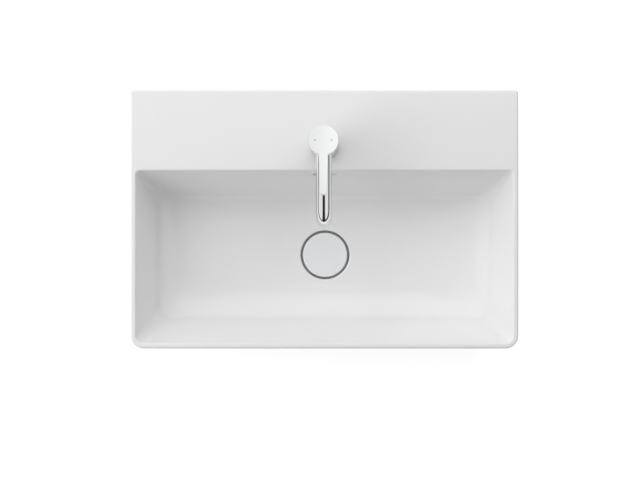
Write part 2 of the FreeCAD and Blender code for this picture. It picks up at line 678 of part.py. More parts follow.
def make_tap_body():
    body = cylinder(TAP_BODY_R, TAP_BASE_Z, PIVOT_Z, 0, TAP_Y)
    body = body.makeFillet(BODY_EDGE, level_edges(body, PIVOT_Z))
    body = body.fuse(ring(
        SPIGOT_R, SPIGOT_R - SPIGOT_WALL, TAP_BASE_Z - SPIGOT_LENGTH, TAP_BASE_Z, 0, TAP_Y))
    body = body.fuse(spout_solid(SPOUT_R, TAP_Y))
    body = body.cut(cylinder(CARTRIDGE_BORE_R, CARTRIDGE_FLOOR_Z, PIVOT_Z + PAST, 0, TAP_Y))
    body = body.cut(spout_solid(SPOUT_BORE_R, TAP_Y + OUTLET_PORT_Y + OUTLET_PORT_R))
    body = body.cut(cylinder(
        OUTLET_PORT_R, SPOUT_Z, CARTRIDGE_FLOOR_Z + PAST, 0, TAP_Y + OUTLET_PORT_Y))
    for x in (-INLET_X, INLET_X):
        inlet_top = TAP_BASE_Z + INLET_LENGTH
        body = body.cut(cylinder(INLET_R, TAP_BASE_Z - PAST, inlet_top, x, TAP_Y + INLET_Y))
        start = V(x, TAP_Y + INLET_Y, inlet_top - PAST)
        run = V(x, TAP_Y + PORT_Y, CARTRIDGE_FLOOR_Z + PAST).sub(start)
        body = body.cut(Part.makeCylinder(CHANNEL_R, run.Length, start, run))
    stud_r = STUD_R + THREAD_FIT
    return body.cut(cylinder(stud_r, TAP_BASE_Z - PAST, STUD_TOP_Z, 0, TAP_Y + STUD_Y))


def make_tap_base_seal():
    outer_r = TAP_BODY_R - BASE_SEAL_INSET
    return ring(outer_r, SPIGOT_R + THREAD_FIT, RIM_Z, TAP_BASE_Z, 0, TAP_Y)


def make_fixing_stud():
    return cylinder(STUD_R, STUD_TOP_Z - STUD_LENGTH, STUD_TOP_Z, 0, TAP_Y + STUD_Y)


def horseshoe(z_low, z_high):
    """Crescent that bears on the deck behind the supply inlets."""
    low = z_low - PAST
    high = z_high + PAST
    half = HORSESHOE_SLOT / 2
    slot_y = TAP_Y + STUD_Y - STUD_R - HORSESHOE_BRIDGE - half
    front_y = TAP_Y - HORSESHOE_R
    plate = cylinder(HORSESHOE_R, z_low, z_high, 0, TAP_Y)
    plate = plate.cut(cylinder(half, low, high, 0, slot_y))
    plate = plate.cut(box(-half, half, front_y - PAST, slot_y, low, high))
    plate = plate.cut(box(
        -HORSESHOE_R, HORSESHOE_R, front_y - PAST, TAP_Y - HORSESHOE_FRONT, low, high))
    return plate.cut(cylinder(STUD_R + SLIDE_FIT, low, high, 0, TAP_Y + STUD_Y))


def make_horseshoe_gasket():
    return horseshoe(HORSESHOE_TOP_Z, DECK_UNDERSIDE_Z)


def make_horseshoe_plate():
    return horseshoe(HORSESHOE_TOP_Z - HORSESHOE_PLATE, HORSESHOE_TOP_Z)


def make_fixing_nut():
    top = HORSESHOE_TOP_Z - HORSESHOE_PLATE
    low = top - FIXING_NUT_LENGTH
    nut = hexagon(FIXING_NUT_ACROSS_FLATS, low, top, 0, TAP_Y + STUD_Y)
    return nut.cut(cylinder(STUD_R + THREAD_FIT, low - PAST, top + PAST, 0, TAP_Y + STUD_Y))


def make_aerator_housing():
    inner_r = AERATOR_R - AERATOR_WALL
    return ring(AERATOR_R, inner_r, AERATOR_Z, AERATOR_Z + AERATOR_HEIGHT, 0, OUTLET_Y)


def make_aerator_washer():
    low = AERATOR_Z + AERATOR_HEIGHT
    inner_r = AERATOR_R - AERATOR_WALL - AERATOR_LEDGE
    return ring(AERATOR_R, inner_r, low, low + AERATOR_WASHER, 0, OUTLET_Y)


def make_aerator_insert():
    """Disc of square cells that breaks up the water."""
    radius = AERATOR_R - AERATOR_WALL - THREAD_FIT
    low = AERATOR_Z + AERATOR_LEDGE
    high = AERATOR_Z + AERATOR_HEIGHT - AERATOR_LEDGE
    insert = cylinder(radius, low, high, 0, OUTLET_Y)
    half = (CELL_PITCH - CELL_WEB) / 2
    reach = int(radius / CELL_PITCH)
    cells = []
    for column in range(-reach, reach + 1):
        for row in range(-reach, reach + 1):
            x = column * CELL_PITCH
            y = OUTLET_Y + row * CELL_PITCH
            if CELL_PITCH * math.hypot(column, row) < radius - 2 * half:
                cells.append(box(x - half, x + half, y - half, y + half, low - PAST, high + PAST))
    return insert.cut(cells)


def make_cartridge_housing():
    neck_z = PIVOT_Z + NECK_HEIGHT
    lip_z = SHOULDER_Z - LIP
    housing = cylinder(CARTRIDGE_R, FIXED_DISC_Z, SHOULDER_Z, 0, TAP_Y)
    housing = housing.fuse(cylinder(NECK_R, SHOULDER_Z - LIP, neck_z, 0, TAP_Y))
    housing = housing.cut(cylinder(CARTRIDGE_CAVITY_R, FIXED_DISC_Z - PAST, lip_z, 0, TAP_Y))
    return housing.cut(cylinder(ROTOR_R + TURN_GAP, lip_z - PAST, neck_z + PAST, 0, TAP_Y))


def port_cutters(wall, z_low, z_high):
    """Upright cylinders round the outlet port and the two inlet ports."""
    cutters = [cylinder(OUTLET_PORT_R + wall, z_low, z_high, 0, TAP_Y + OUTLET_PORT_Y)]
    for x in (-INLET_X, INLET_X):
        cutters.append(cylinder(CHANNEL_R + wall, z_low, z_high, x, TAP_Y + PORT_Y))
    return cutters


def make_cartridge_base():
    base = cylinder(CARTRIDGE_R, CARTRIDGE_Z, FIXED_DISC_Z, 0, TAP_Y)
    return base.cut(port_cutters(0, CARTRIDGE_Z - PAST, FIXED_DISC_Z + PAST))


def make_cartridge_seals():
    rims = port_cutters(PORT_SEAL_WALL, CARTRIDGE_FLOOR_Z, CARTRIDGE_Z)
    holes = port_cutters(0, CARTRIDGE_FLOOR_Z - PAST, CARTRIDGE_Z + PAST)
    return rims[0].fuse(rims[1:]).cut(holes)


def make_fixed_disc():
    disc = cylinder(FIXED_DISC_R, FIXED_DISC_Z, FIXED_DISC_TOP_Z, 0, TAP_Y)
    return disc.cut(port_cutters(0, FIXED_DISC_Z - PAST, FIXED_DISC_TOP_Z + PAST))


def make_cartridge_nut():
    """Ring nut with spanner notches that holds the cartridge down."""
    top = SHOULDER_Z + RING_NUT_HEIGHT
    half = RING_NUT_NOTCH / 2
    nut = ring(CARTRIDGE_R + THREAD_FIT, NECK_R + THREAD_FIT, SHOULDER_Z, top, 0, TAP_Y)
    for turn in range(0, 180, 45):
        notch = box(-TAP_BODY_R, TAP_BODY_R, -half, half, top - RING_NUT_NOTCH / 2, top + PAST)
        notch.rotate(V(0, 0, 0), Z_AXIS, turn)
        notch.translate(V(0, TAP_Y, 0))
        nut = nut.cut(notch)
    return nut


def make_dome_ring():
    """Domed cover that the handle's underside rolls over."""
    foot = V(DOME_R, TAP_Y, PIVOT_Z)
    middle_angle = math.acos(DOME_HOLE_R / DOME_R) / 2
    middle = V(DOME_R * math.cos(middle_angle), TAP_Y, PIVOT_Z + DOME_R * math.sin(middle_angle))
    top_z = PIVOT_Z + math.sqrt(DOME_R ** 2 - DOME_HOLE_R ** 2)
    inner_r = CARTRIDGE_R + SLIDE_FIT
    corners = [V(DOME_HOLE_R, TAP_Y, top_z), V(DOME_HOLE_R, TAP_Y, top_z - DOME_WALL),
               V(inner_r, TAP_Y, DOME_SHOULDER_Z), V(inner_r, TAP_Y, PIVOT_Z), foot]
    lines = [Part.makeLine(start, end) for start, end in zip(corners, corners[1:])]
    crown = Part.Arc(foot, middle, corners[0]).toShape()
    return Part.Face(Part.Wire(lines + [crown])).revolve(PIVOT, Z_AXIS, 360)


def make_cartridge_rotor():
    top = PIVOT_Z + ROTOR_TOP
    half = STEM_WIDTH / 2 + ROTOR_SLOT_GAP
    rotor = cylinder(ROTOR_FLANGE_R, ROTOR_Z, ROTOR_FLANGE_TOP_Z, 0, TAP_Y)
    rotor = rotor.fuse(cylinder(ROTOR_R, ROTOR_Z, top, 0, TAP_Y))
    rotor = rotor.cut(box(-half, half, TAP_Y - ROTOR_SLOT_FRONT, TAP_Y + ROTOR_SLOT_REAR,
                          ROTOR_Z - PAST, top + PAST))
    for x in (-RAIL_X, RAIL_X):
        groove_half = RAIL_WIDTH / 2 + SLIDE_FIT
        rotor = rotor.cut(box(x - groove_half, x + groove_half,
                              TAP_Y - ROTOR_FLANGE_R, TAP_Y + ROTOR_FLANGE_R,
                              ROTOR_Z - PAST, ROTOR_Z + RAIL_HEIGHT))
    pin_half = ROTOR_R - PIN_INSET
    start = V(-pin_half, TAP_Y, PIVOT_Z)
    return rotor.cut(Part.makeCylinder(PIN_R + PIN_PRESS, 2 * pin_half, start, X_AXIS))


def make_pivot_pin():
    half = ROTOR_R - PIN_INSET - PIN_PRESS
    return Part.makeCylinder(PIN_R, 2 * half, V(-half, TAP_Y, PIVOT_Z), X_AXIS)


def make_lever_stem():
    """Square stem on the pivot pin, with a round-nosed tail that drives the moving disc."""
    half = STEM_WIDTH / 2
    tail_half = STEM_TAIL_WIDTH / 2
    nose_z = PIVOT_Z - STEM_ARM
    stem = box(-half, half, TAP_Y - half, TAP_Y + half, PIVOT_Z - half, PIVOT_Z + STEM_TOP)
    stem = stem.fuse(box(
        -tail_half, tail_half, TAP_Y - tail_half, TAP_Y + tail_half, nose_z, PIVOT_Z))
    nose = Part.makeCylinder(STEM_NOSE_R, 2 * half, V(-half, TAP_Y, nose_z), X_AXIS)
    hole = Part.makeCylinder(PIN_R + PIN_FIT, STEM_WIDTH + 2 * PAST, V(-half - PAST, TAP_Y, PIVOT_Z), X_AXIS)
    return stem.fuse(nose).cut(hole)


def make_disc_carrier():
    carrier = cylinder(CARRIER_DISC_R, DISC_TOP_Z, CARRIER_TOP_Z, 0, TAP_Y)
    for x in (-RAIL_X, RAIL_X):
        carrier = carrier.fuse(box(
            x - RAIL_WIDTH / 2, x + RAIL_WIDTH / 2, TAP_Y - RAIL_LENGTH / 2, TAP_Y + RAIL_LENGTH / 2,
            DISC_TOP_Z + PAST, CARRIER_TOP_Z + RAIL_HEIGHT))
    pocket_x = STEM_WIDTH / 2 + NOSE_GAP
    pocket_y = STEM_NOSE_R + NOSE_GAP
    pocket_z = PIVOT_Z - STEM_ARM - STEM_NOSE_R - NOSE_GAP
    return carrier.cut(box(
        -pocket_x, pocket_x, TAP_Y - pocket_y, TAP_Y + pocket_y, pocket_z, CARRIER_TOP_Z + PAST))


def make_moving_disc():
    """Ceramic disc with a pocket underneath that joins the inlets to the outlet."""
    disc = cylinder(DISC_R, DISC_Z, DISC_TOP_Z, 0, TAP_Y)
    half = MIX_POCKET_WIDTH / 2
    front_y = TAP_Y - MIX_POCKET_FRONT
    return disc.cut(box(
        -half, half, front_y, front_y + MIX_POCKET_LENGTH, DISC_Z - PAST, DISC_Z + MIX_POCKET_DEPTH))


def lever_plan():
    """Tongue of the handle in plan: tapering sides and a half-round end."""
    root_half = LEVER_ROOT_WIDTH / 2
    tip_half = LEVER_TIP_WIDTH / 2
    tip_y = TAP_Y - LEVER_REACH + tip_half
    root_l = V(-root_half, TAP_Y, PIVOT_Z)
    root_r = V(root_half, TAP_Y, PIVOT_Z)
    tip_r = V(tip_half, tip_y, PIVOT_Z)
    tip_l = V(-tip_half, tip_y, PIVOT_Z)
    end = Part.Arc(tip_r, V(0, tip_y - tip_half, PIVOT_Z), tip_l).toShape()
    return Part.Wire([Part.makeLine(root_l, root_r), Part.makeLine(root_r, tip_r), end,
                      Part.makeLine(tip_l, root_l)])


def handle_top_z(y):
    """Height of the handle's flat top, which rises towards the lever's tip."""
    return HANDLE_TOP_Z + (TAP_Y - y) * math.tan(math.radians(HANDLE_SLOPE_DEG))


def handle_side_view(back_y, back_thickness, tip_thickness):
    """Everything under the sloping top, as thick as stated at the back and at the tip."""
    tip_y = TAP_Y - LEVER_REACH - PAST
    back_z = handle_top_z(back_y)
    tip_z = handle_top_z(tip_y)
    return prism_across([
        (back_y, back_z - back_thickness), (tip_y, tip_z - tip_thickness),
        (tip_y, tip_z), (back_y, back_z)], HANDLE_R + PAST)


def make_tap_handle():
    half = STEM_WIDTH / 2 + PRESS_FIT
    head = cylinder(HANDLE_R, PIVOT_Z + HANDLE_RIM, PIVOT_Z + 2 * HANDLE_TOP, 0, TAP_Y)
    head = head.common(handle_side_view(TAP_Y + HANDLE_R + PAST, HANDLE_TOP, HANDLE_TOP))
    tongue = Part.Face(lever_plan()).extrude(V(0, 0, 2 * HANDLE_TOP))
    tongue = tongue.common(handle_side_view(TAP_Y, LEVER_ROOT_THICKNESS, LEVER_TIP_THICKNESS))
    handle = head.fuse(tongue).removeSplitter()
    top_edges = [edge for edge in handle.Edges if all(
        abs(spot.z - handle_top_z(spot.y)) < PIN_FIT for spot in edge.discretize(5))]
    handle = handle.makeFillet(HANDLE_EDGE, top_edges)
    handle = handle.cut(Part.makeSphere(DOME_R + DOME_GAP, PIVOT))
    handle = handle.cut(box(
        -half, half, TAP_Y - half, TAP_Y + half, PIVOT_Z, PIVOT_Z + STEM_TOP + PRESS_FIT))
    for x in (-INDEX_X, INDEX_X):
        pocket_z = HANDLE_TOP_Z - INDEX_DEPTH
        handle = handle.cut(cylinder(INDEX_R + PRESS_FIT, pocket_z, HANDLE_TOP_Z + PAST, x, TAP_Y))
    grub_start = V(0, TAP_Y, GRUB_Z)
    handle = handle.cut(Part.makeCylinder(GRUB_R + THREAD_FIT, HANDLE_R, grub_start, Y_AXIS))
    cap_start = V(0, TAP_Y + HANDLE_R - SCREW_CAP_LENGTH, GRUB_Z)
    return handle.cut(Part.makeCylinder(SCREW_CAP_R + PRESS_FIT, HANDLE_R, cap_start, Y_AXIS))


def make_handle_screw():
    start = V(0, TAP_Y + STEM_WIDTH / 2, GRUB_Z)
    grub = Part.makeCylinder(GRUB_R, GRUB_LENGTH, start, Y_AXIS)
    key_start = start.add(V(0, GRUB_LENGTH - GRUB_KEY_DEPTH, 0))
    return grub.cut(Part.makeCylinder(GRUB_KEY_R, GRUB_LENGTH, key_start, Y_AXIS))


def make_screw_cap():
    """Plug flush with the back of the handle, over the screw."""
    start = V(0, TAP_Y + HANDLE_R - SCREW_CAP_LENGTH, GRUB_Z)
    cap = Part.makeCylinder(SCREW_CAP_R, SCREW_CAP_LENGTH + PAST, start, Y_AXIS)
    return cap.common(cylinder(HANDLE_R, PIVOT_Z, HANDLE_TOP_Z, 0, TAP_Y))


def index_dot(x):
    return cylinder(INDEX_R, HANDLE_TOP_Z - INDEX_DEPTH, HANDLE_TOP_Z, x, TAP_Y)


def make_index_hot():
    return index_dot(-INDEX_X)


def make_index_cold():
    return index_dot(INDEX_X)


MAKERS = {
    "basin_body": make_basin_body,
    "waste_body": make_waste_body,
    "waste_flange_seal": make_waste_flange_seal,
    "waste_cone_gasket": make_waste_cone_gasket,
    "waste_washer": make_waste_washer,
    "waste_backnut": make_waste_backnut,
    "drain_cover": make_drain_cover,
    "cover_carrier": make_cover_carrier,
    "plug_seal": make_plug_seal,
    "click_housing": make_click_housing,
    "click_plunger": make_click_plunger,
    "click_spring": make_click_spring,
    "tap_body": make_tap_body,
    "tap_base_seal": make_tap_base_seal,
    "fixing_stud": make_fixing_stud,
    "horseshoe_gasket": make_horseshoe_gasket,
    "horseshoe_plate": make_horseshoe_plate,
    "fixing_nut": make_fixing_nut,
    "aerator_housing": make_aerator_housing,
    "aerator_washer": make_aerator_washer,
    "aerator_insert": make_aerator_insert,
    "cartridge_housing": make_cartridge_housing,
    "cartridge_base": make_cartridge_base,
    "cartridge_seals": make_cartridge_seals,
    "fixed_disc": make_fixed_disc,
    "cartridge_nut": make_cartridge_nut,
    "dome_ring": make_dome_ring,
    "cartridge_rotor": make_cartridge_rotor,
    "pivot_pin": make_pivot_pin,
    "tap_handle": make_tap_handle,
    "lever_stem": make_lever_stem,
    "handle_screw": make_handle_screw,
    "screw_cap": make_screw_cap,
    "index_hot": make_index_hot,
    "index_cold": make_index_cold,
    "disc_carrier": make_disc_carrier,
    "moving_disc": make_moving_disc,
}

os.makedirs("parts", exist_ok=True)
for name, make in MAKERS.items():
    shape = make()
    shape.exportStep("parts/" + name + ".step")
    print(name, len(shape.Solids), "solid", round(shape.Volume / 1000, 2), "cm3", shape.isValid())
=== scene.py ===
# %% [markdown]
# # A vanity basin with a lever tap
#
# The object is a white glazed basin, 600 by 400 mm, with a chrome lever tap on
# its deck and a push-open drain in its floor. The measured solids are loaded
# first and stay where they are. The lesson then adds what makes them look like
# the real thing: smooth glaze, polished chrome, cut threads and soft light.

# %% Load the measured solids
import json
import math

import bmesh
import bpy
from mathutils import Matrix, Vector


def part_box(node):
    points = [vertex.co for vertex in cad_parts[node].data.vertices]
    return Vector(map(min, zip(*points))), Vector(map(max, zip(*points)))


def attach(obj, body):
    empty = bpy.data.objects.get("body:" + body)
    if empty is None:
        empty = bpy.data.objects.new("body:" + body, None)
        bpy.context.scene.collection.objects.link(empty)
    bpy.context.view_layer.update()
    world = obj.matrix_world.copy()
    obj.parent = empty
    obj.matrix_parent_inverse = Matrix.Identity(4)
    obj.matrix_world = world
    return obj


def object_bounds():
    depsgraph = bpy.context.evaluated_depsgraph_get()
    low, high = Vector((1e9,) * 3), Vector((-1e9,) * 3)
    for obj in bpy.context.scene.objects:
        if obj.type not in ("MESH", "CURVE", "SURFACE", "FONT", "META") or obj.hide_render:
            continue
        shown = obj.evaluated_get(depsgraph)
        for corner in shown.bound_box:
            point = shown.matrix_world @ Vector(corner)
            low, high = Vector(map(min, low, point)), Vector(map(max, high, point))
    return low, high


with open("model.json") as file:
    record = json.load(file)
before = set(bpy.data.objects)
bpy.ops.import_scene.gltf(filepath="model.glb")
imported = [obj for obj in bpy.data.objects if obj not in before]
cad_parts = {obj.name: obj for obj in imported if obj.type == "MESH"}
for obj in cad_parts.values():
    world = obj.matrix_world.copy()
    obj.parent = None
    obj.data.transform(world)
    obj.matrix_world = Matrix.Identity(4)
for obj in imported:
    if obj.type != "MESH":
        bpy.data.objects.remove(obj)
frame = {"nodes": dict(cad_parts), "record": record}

cad_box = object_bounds()
nodes = frame["nodes"]
MM = 0.001
print("solids loaded:", len(nodes), "from", cad_box[0][:], "to", cad_box[1][:])

# %% [markdown]
# ## Where things are
#
# The steps below ask the solids where they are, so that no place is typed twice.
# The drain and the fixing stud are turned about an upright axis, and the middle of
# a turned solid's box lies on that axis.

# %% Axes and levels
def middle_of(name):
    low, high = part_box(name)
    return (low + high) / 2


def underside_of(name):
    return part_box(name)[0].z


basin_low, basin_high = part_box("basin_body")
basin_middle = middle_of("basin_body")
drain_axis = middle_of("drain_cover")
rim_z = basin_high.z
print("rim at", round(rim_z / MM, 1), "mm; drain axis at y", round(drain_axis.y / MM, 1), "mm")

# %% [markdown]
# ## Smooth surfaces from a measured mesh
#
# The solids arrive as triangles, and each face of the solid brings its own
# normals. On glossy ceramic, the smallest break between two faces shows as a
# line in the reflections. Three modifiers cure that and leave the mesh alone:
# Weld joins the loose triangles, Edge Split opens the true corners again, and
# Weighted Normal lets the large flat faces decide how the rounds meet them.

# %% Modifiers on every solid
CORNER_ANGLE = math.radians(33)
WELD_DISTANCE = 0.004 * MM


def smooth_solid(solid):
    weld = solid.modifiers.new("join_triangles", "WELD")
    weld.merge_threshold = WELD_DISTANCE
    split = solid.modifiers.new("keep_corners", "EDGE_SPLIT")
    split.split_angle = CORNER_ANGLE
    split.use_edge_sharp = False
    normals = solid.modifiers.new("flat_faces_lead", "WEIGHTED_NORMAL")
    normals.mode = "FACE_AREA"
    normals.keep_sharp = True


for solid in nodes.values():
    smooth_solid(solid)
print("smoothed", len(nodes), "solids")

# %% [markdown]
# ## Writing shader maths as sums
#
# A finish is a small graph of nodes. Wiring Math nodes by hand hides what they
# work out, so a Wire stands for one socket and can be added, subtracted and
# multiplied. Everything else comes from one method, node, which sets a node's
# options first and then its inputs.

# %% Wires and finishes
class Wire:
    """One output socket of a finish, which can be added, subtracted and multiplied."""

    def __init__(self, finish, socket):
        self.finish = finish
        self.socket = socket

    def maths(self, operation, left, right):
        return self.finish.node("Math", {"operation": operation}, {0: left, 1: right})

    def __add__(self, other):
        return self.maths("ADD", self, other)

    def __sub__(self, other):
        return self.maths("SUBTRACT", self, other)

    def __rsub__(self, other):
        return self.maths("SUBTRACT", other, self)

    def __mul__(self, other):
        return self.maths("MULTIPLY", self, other)

    __radd__ = __add__
    __rmul__ = __mul__

    def rise(self, start, end):
        """0 below start, 1 above end, and a smooth ramp between."""
        return self.finish.node(
            "MapRange", {"interpolation_type": "SMOOTHSTEP"},
            {"Value": self, "From Min": start, "From Max": end})


class Finish:
    """A node tree that is filled by expressions."""

    def __init__(self, tree):
        self.tree = tree
        tree.nodes.clear()

    def node(self, kind, settings=None, inputs=None, output=0):
        made = self.tree.nodes.new("ShaderNode" + kind)
        for name, value in (settings or {}).items():
            setattr(made, name, value)
        for name, value in (inputs or {}).items():
            if isinstance(value, Wire):
                self.tree.links.new(value.socket, made.inputs[name])
            else:
                made.inputs[name].default_value = value
        return Wire(self, made.outputs[output]) if made.outputs else None

    def place(self):
        return self.node("TexCoord", output="Object")

    def facing(self):
        return self.node("TexCoord", output="Normal")

    def axis(self, vector, letter):
        return self.node("SeparateXYZ", inputs={"Vector": vector}, output=letter)

    def noise(self, scale, detail, stretch=(1.0, 1.0, 1.0)):
        spot = self.node("Mapping", inputs={"Vector": self.place(), "Scale": stretch})
        return self.node("TexNoise", inputs={"Vector": spot, "Scale": scale, "Detail": detail})

    def blend(self, share, first, second):
        return self.node("Mix", {"data_type": "RGBA"}, {0: share, 6: first, 7: second}, output=2)

    def bump(self, height, depth, strength):
        return self.node("Bump", inputs={"Height": height, "Distance": depth, "Strength": strength})

    def ray(self, kind):
        """1 for rays of one kind, such as those that the camera or a mirror sends."""
        return self.node("LightPath", output="Is " + kind + " Ray")

    def surface(self, inputs):
        shader = self.node("BsdfPrincipled", inputs=inputs)
        self.node("OutputMaterial", inputs={"Surface": shader})


def new_finish(name):
    material = bpy.data.materials.new(name)
    material.use_nodes = True
    print("finish:", name)
    return material, Finish(material.node_tree)


def rgb(red, green, blue):
    return (red, green, blue, 1.0)


finishes = {}
print("shader helpers ready")

# %% [markdown]
# ## White glaze
#
# Vitreous china gets a coat of glass about half a millimetre thick. It is not a
# perfect mirror: the surface has a faint orange-peel waviness, and the white
# drifts by a percent or so. Where the piece stands in the kiln the glaze is
# wiped off, so the foot is bare, matt and slightly cream. The hidden underside
# only gets a thin coat with pin-holes, and the drain cover is a shade cooler.
# Separate finishes would need the casting's faces sorted by hand. Here one finish
# reads the place and the facing of each spot and decides what it gets.

# %% Glaze
FOOT_Z = 1.0 * MM
SKIRT = 12.0 * MM
SKIRT_EDGE = 0.9 * SKIRT
FACES_UP = (0.02, 0.1)
FACES_DOWN = (-0.9, -0.6)
COVER_R = 36.0 * MM
COVER_EDGE = 0.5 * MM
GLAZE_IOR = 1.52
DRIFT_SCALE = 9.0
PEEL_SCALE = 140.0
PEEL_DEPTH = 0.015 * MM
PIT_SCALE = 900.0


def make_glaze():
    material, finish = new_finish("white_glaze")
    place = finish.place()
    x = finish.axis(place, "X")
    y = finish.axis(place, "Y")
    z = finish.axis(place, "Z")
    up = finish.axis(finish.facing(), "Z")
    drift = finish.noise(DRIFT_SCALE, 3.0)
    peel = finish.noise(PEEL_SCALE, 2.0)
    pits = finish.noise(PIT_SCALE, 3.0)

    sunk = x.rise(basin_low.x + SKIRT_EDGE, basin_low.x + SKIRT)
    sunk = sunk * (1.0 - x.rise(basin_high.x - SKIRT, basin_high.x - SKIRT_EDGE))
    sunk = sunk * y.rise(basin_low.y + SKIRT_EDGE, basin_low.y + SKIRT)
    sunk = sunk * (1.0 - y.rise(basin_high.y - SKIRT, basin_high.y - SKIRT_EDGE))
    hidden = sunk * (1.0 - up.rise(*FACES_UP))
    foot = (1.0 - z.rise(FOOT_Z, 2 * FOOT_Z)) * (1.0 - up.rise(*FACES_DOWN))
    pinholes = pits.rise(0.66, 0.72) * hidden
    aside = x - drain_axis.x
    ahead = y - drain_axis.y
    from_drain = aside * aside + ahead * ahead
    cover = 1.0 - from_drain.rise(COVER_R ** 2, (COVER_R + COVER_EDGE) ** 2)

    white = finish.blend(drift, rgb(0.83, 0.83, 0.83), rgb(0.865, 0.865, 0.865))
    white = finish.blend(cover, white, rgb(0.845, 0.855, 0.873))
    white = finish.blend(hidden * 0.6, white, rgb(0.77, 0.765, 0.745))
    white = finish.blend(pinholes, white, rgb(0.5, 0.48, 0.44))
    white = finish.blend(foot, white, rgb(0.72, 0.68, 0.61))
    rough = 0.1 + drift * 0.05 + hidden * 0.2 + foot * 0.6
    wave = peel + pits * foot * 2.0
    finish.surface({
        "Base Color": white, "Roughness": rough, "IOR": GLAZE_IOR,
        "Normal": finish.bump(wave, PEEL_DEPTH, 0.35)})
    return material


finishes["glaze"] = make_glaze()

# %% [markdown]
# ## Polished chrome
#
# Chrome plate is nearly a mirror. What tells it from a computer's perfect
# mirror is a trace of haze: wiping leaves faint fine lines and a few dull
# patches. One roughness for the whole surface would look too clean, so two noise
# patterns share the work. A broad one gives the patches, and one that is drawn
# out upwards gives the lines.

# %% Chrome
HAZE_SCALE = 35.0
WIPE_SCALE = 260.0
WIPE_STRETCH = (1.0, 1.0, 0.06)
WIPE_DEPTH = 0.002 * MM


def make_chrome():
    material, finish = new_finish("polished_chrome")
    haze = finish.noise(HAZE_SCALE, 3.0)
    wiped = finish.noise(WIPE_SCALE, 2.0, WIPE_STRETCH)
    tint = finish.blend(haze, rgb(0.71, 0.715, 0.72), rgb(0.76, 0.765, 0.77))
    rough = 0.03 + haze.rise(0.45, 0.75) * 0.04 + wiped.rise(0.55, 0.8) * 0.02
    finish.surface({
        "Base Color": tint, "Metallic": 1.0, "Roughness": rough,
        "Normal": finish.bump(wiped, WIPE_DEPTH, 0.2)})
    return material


finishes["chrome"] = make_chrome()

# %% [markdown]
# ## Hidden metals
#
# The fixings are never polished. The brass pieces keep the fine rings that the
# lathe left, and air has browned them a little. Rings could be painted round each
# piece, but a noise that reads the height alone gives them to every upright piece
# at once. The steel pieces are zinc plated, which dries to a cloudy pattern.

# %% Brass and zinc-plated steel
LATHE_SCALE = 3500.0
LATHE_DEPTH = 0.02 * MM
STAIN_SCALE = 90.0
ZINC_CLOUD_SCALE = 160.0
ZINC_GRAIN_SCALE = 1400.0
ZINC_GRAIN_DEPTH = 0.008 * MM


def make_brass():
    material, finish = new_finish("turned_brass")
    z = finish.axis(finish.place(), "Z")
    rings = finish.node("TexNoise", {"noise_dimensions": "1D"}, {"W": z, "Scale": LATHE_SCALE})
    stain = finish.noise(STAIN_SCALE, 4.0)
    tone = finish.blend(stain.rise(0.4, 0.75), rgb(0.80, 0.61, 0.30), rgb(0.58, 0.41, 0.19))
    rough = 0.2 + rings * 0.14 + stain * 0.12
    finish.surface({
        "Base Color": tone, "Metallic": 1.0, "Roughness": rough,
        "Normal": finish.bump(rings, LATHE_DEPTH, 0.5)})
    return material


def make_steel():
    material, finish = new_finish("zinc_plated_steel")
    cloud = finish.noise(ZINC_CLOUD_SCALE, 4.0)
    grain = finish.noise(ZINC_GRAIN_SCALE, 2.0)
    tone = finish.blend(cloud, rgb(0.52, 0.53, 0.54), rgb(0.70, 0.71, 0.73))
    rough = 0.24 + cloud * 0.2
    finish.surface({
        "Base Color": tone, "Metallic": 1.0, "Roughness": rough,
        "Normal": finish.bump(grain, ZINC_GRAIN_DEPTH, 0.5)})
    return material


finishes["brass"] = make_brass()
finishes["steel"] = make_steel()

# %% [markdown]
# ## Rubber, plastics and the valve's ceramic
#
# Seals are black rubber with a dusting of talc. The cartridge is moulded
# plastic, and its two valve discs are lapped alumina, which is cream and fine
# grained. The two index marks are enamel. One function serves them all, because
# they differ only in colour, speck, gloss and grain.

# %% Moulded finishes
CLOUD_SCALE = 60.0


def make_moulded(name, base, speck, gloss, grain_scale, grain_depth):
    material, finish = new_finish(name)
    grain = finish.noise(grain_scale, 3.0)
    cloud = finish.noise(CLOUD_SCALE, 3.0)
    tone = finish.blend(grain.rise(0.55, 0.8), base, speck)
    rough = gloss + cloud * 0.12
    finish.surface({
        "Base Color": tone, "Roughness": rough,
        "Normal": finish.bump(grain, grain_depth, 0.5)})
    return material


MOULDED = {
    "rubber": (
        "talced_rubber", rgb(0.03, 0.03, 0.031), rgb(0.09, 0.09, 0.088), 0.62, 1800.0, 0.03 * MM),
    "white_plastic": (
        "white_acetal", rgb(0.80, 0.80, 0.78), rgb(0.74, 0.74, 0.72), 0.3, 1200.0, 0.01 * MM),
    "dark_plastic": (
        "dark_acetal", rgb(0.12, 0.12, 0.13), rgb(0.18, 0.18, 0.19), 0.34, 1200.0, 0.01 * MM),
    "disc_ceramic": (
        "lapped_alumina", rgb(0.86, 0.85, 0.80), rgb(0.80, 0.78, 0.72), 0.12, 2600.0, 0.002 * MM),
    "index_red": (
        "hot_enamel", rgb(0.24, 0.14, 0.13), rgb(0.30, 0.18, 0.17), 0.2, 900.0, 0.002 * MM),
    "index_blue": (
        "cold_enamel", rgb(0.30, 0.34, 0.40), rgb(0.36, 0.40, 0.46), 0.2, 900.0, 0.002 * MM),
}
for slot, facts in MOULDED.items():
    finishes[slot] = make_moulded(*facts)

# %% [markdown]
# ## Giving each solid its finish
#
# The record names a material slot for every solid, and the finishes are kept by
# the names of the slots, so one loop hands them out.

# %% One finish for each solid
for part in frame["record"]["subparts"]:
    solid = nodes[part["node"]]
    solid.data.materials.clear()
    solid.data.materials.append(finishes[part["material_slot"]])
print("finishes given:", len(finishes), "to", len(nodes), "solids")

